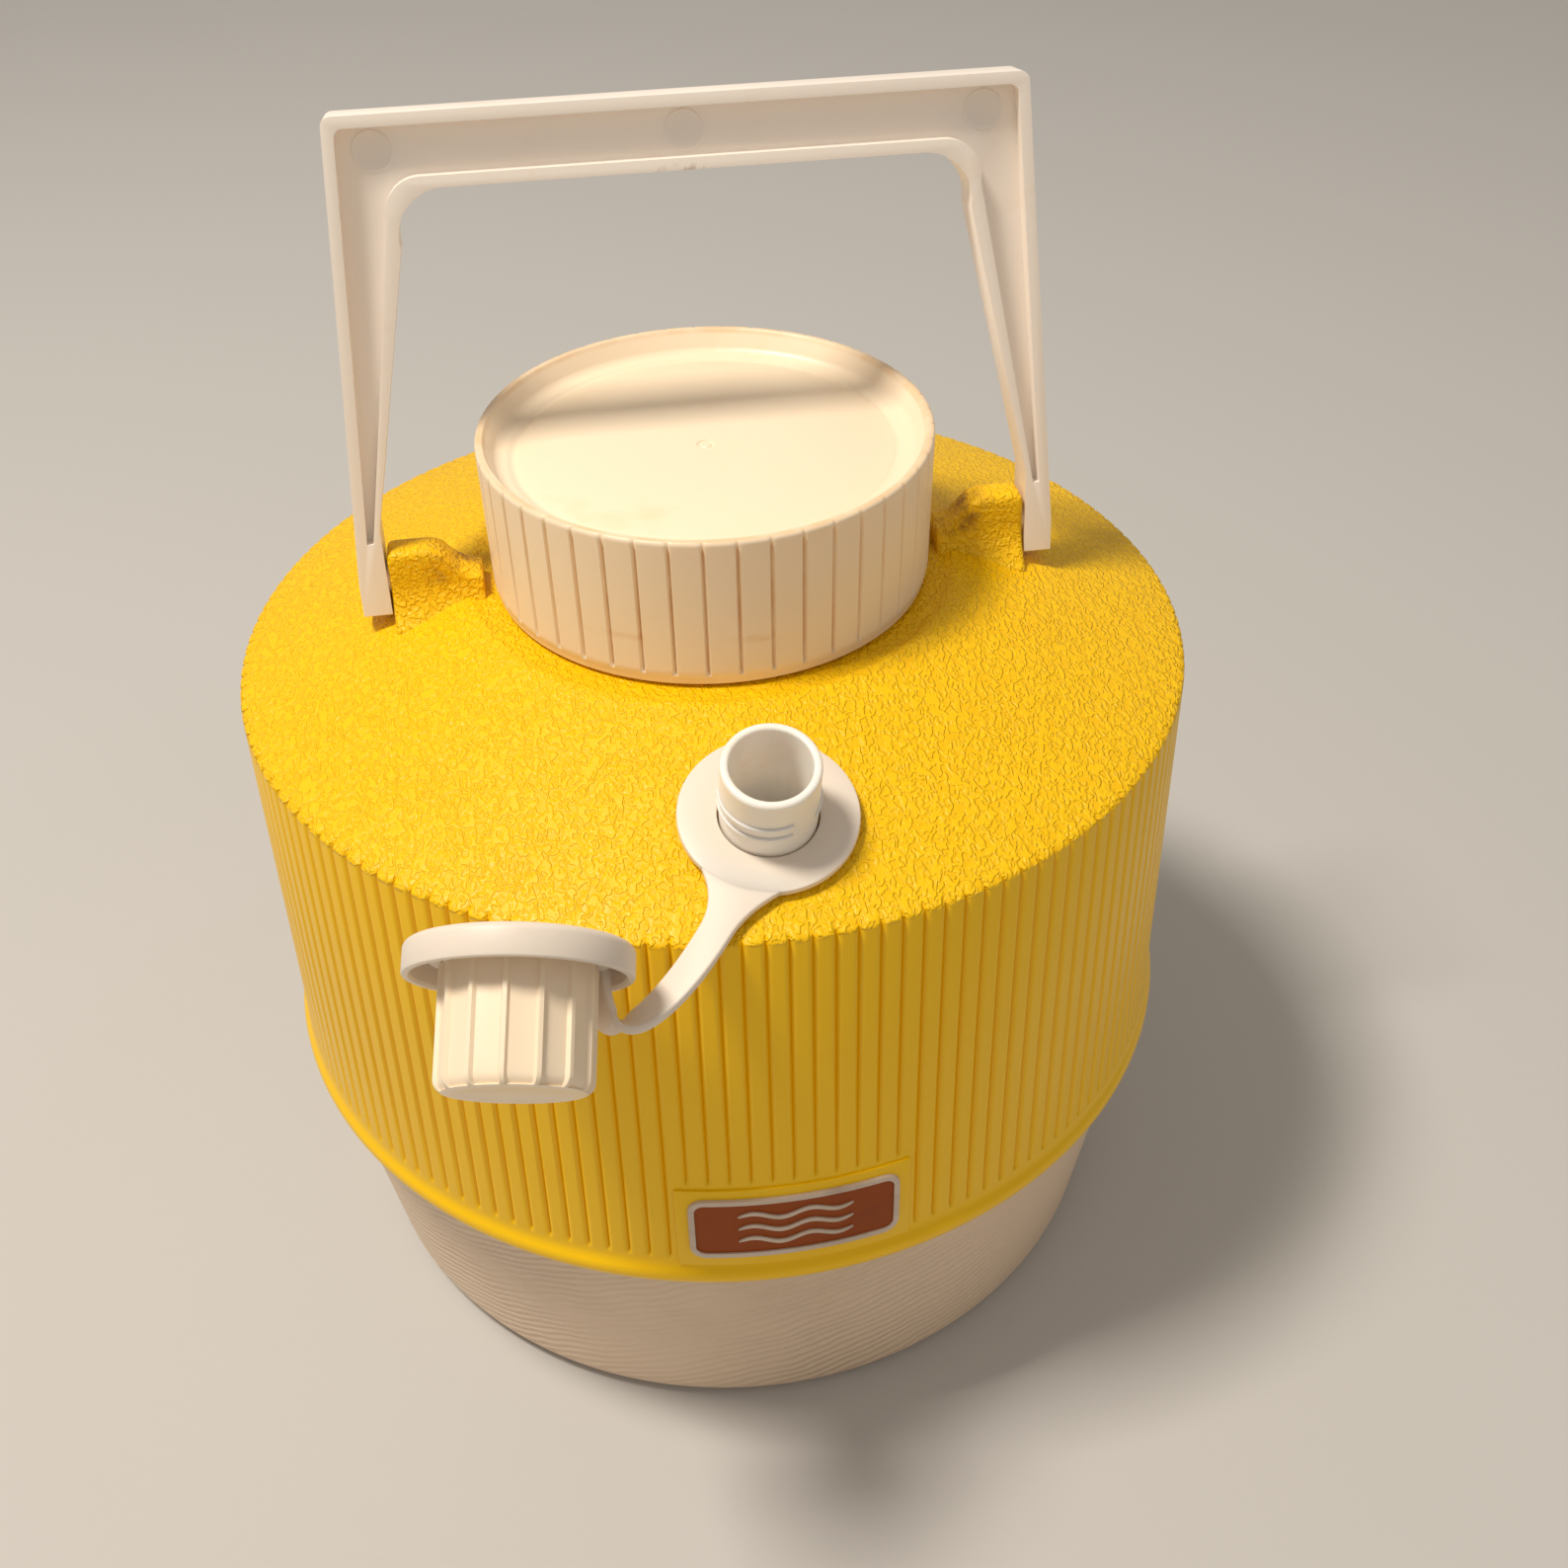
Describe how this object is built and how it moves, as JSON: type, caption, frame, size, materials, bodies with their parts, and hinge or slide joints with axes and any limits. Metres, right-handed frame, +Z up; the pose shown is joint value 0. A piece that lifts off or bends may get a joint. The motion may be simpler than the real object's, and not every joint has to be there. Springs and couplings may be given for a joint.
{
  "type": "insulated picnic jug",
  "caption": "Insulated beverage jug with a ribbed body, screw lid, swinging bail handle and a capped pour spout on the shoulder.",
  "frame": {"origin": "centre of the flat underside that the jug rests on", "axes": "+Z up along the jug's axis, -Y towards the spout and badge, +X to the right seen from the front, along the handle's pivots"},
  "size_m": [0.2232, 0.2518, 0.2803],
  "materials": {
    "yellow_shell": "golden yellow polyethylene with a leather grain",
    "ivory_base": "off-white plastic with a wrinkled leather grain",
    "cream_lid": "aged cream plastic",
    "white_handle": "warm white moulded plastic",
    "white_soft": "cool white translucent polyethylene",
    "white_spout": "white moulded plastic",
    "white_liner": "smooth white vessel",
    "foam": "rigid foam",
    "seal": "grey rubber",
    "badge_face": "rust-orange badge with a pale border"
  },
  "bodies": {
    "jug": {"base_shell": "ivory_base", "top_shell": "yellow_shell", "badge": "badge_face", "liner": "white_liner", "insulation_base": "foam", "insulation_wall": "foam", "insulation_shoulder": "foam", "neck_seal": "seal", "spout": "white_spout", "spout_gasket": "seal", "spout_nut": "white_spout"},
    "lid_lift": {"lid_gasket": "seal"},
    "lid": {"lid_cover": "cream_lid", "lid_plug": "cream_lid", "lid_foam": "foam"},
    "bail": {"handle": "white_handle"},
    "tether": {"tether_anchor": "white_soft"},
    "tether_end": {"tether_ring": "white_soft"},
    "cap": {"cap_collar": "white_soft", "spout_cap": "cream_lid", "cap_liner": "seal"}
  },
  "joints": [
    {"name": "lid_rise", "type": "slide", "parent": "jug", "child": "lid_lift", "axis": [0, 0, 1], "range_m": [0, 0.0271]},
    {"name": "lid_turn", "type": "hinge", "parent": "lid_lift", "child": "lid", "pos_m": [0, 0, 0.2], "axis": [0, 0, 1], "range_deg": [0, 1620]},
    {"name": "handle_swing", "type": "hinge", "parent": "jug", "child": "bail", "pos_m": [0, 0, 0.18499], "axis": [1, 0, 0], "range_deg": [-83, 88]},
    {"name": "tether_swivel", "type": "hinge", "parent": "jug", "child": "tether", "pos_m": [0, -0.0825, 0.17228], "axis": [0, -0.309, 0.9511], "range_deg": [0, 70]},
    {"name": "strap_flex", "type": "hinge", "parent": "tether", "child": "tether_end", "pos_m": [-0.02398, -0.11511, 0.16173], "axis": [-0.5501, 0.8315, -0.0778], "range_deg": [0, 42], "stiffness_Nm_per_rad": 0.02},
    {"name": "cap_spin", "type": "hinge", "parent": "tether_end", "child": "cap", "pos_m": [-0.0492, -0.11022, 0.1733], "axis": [-0.1373, -0.8205, -0.5548], "continuous": true}
  ],
  "couplings": [
    {"joint": "lid_rise", "follows": "lid_turn", "m_per_rad": 0.00095493}
  ]
}
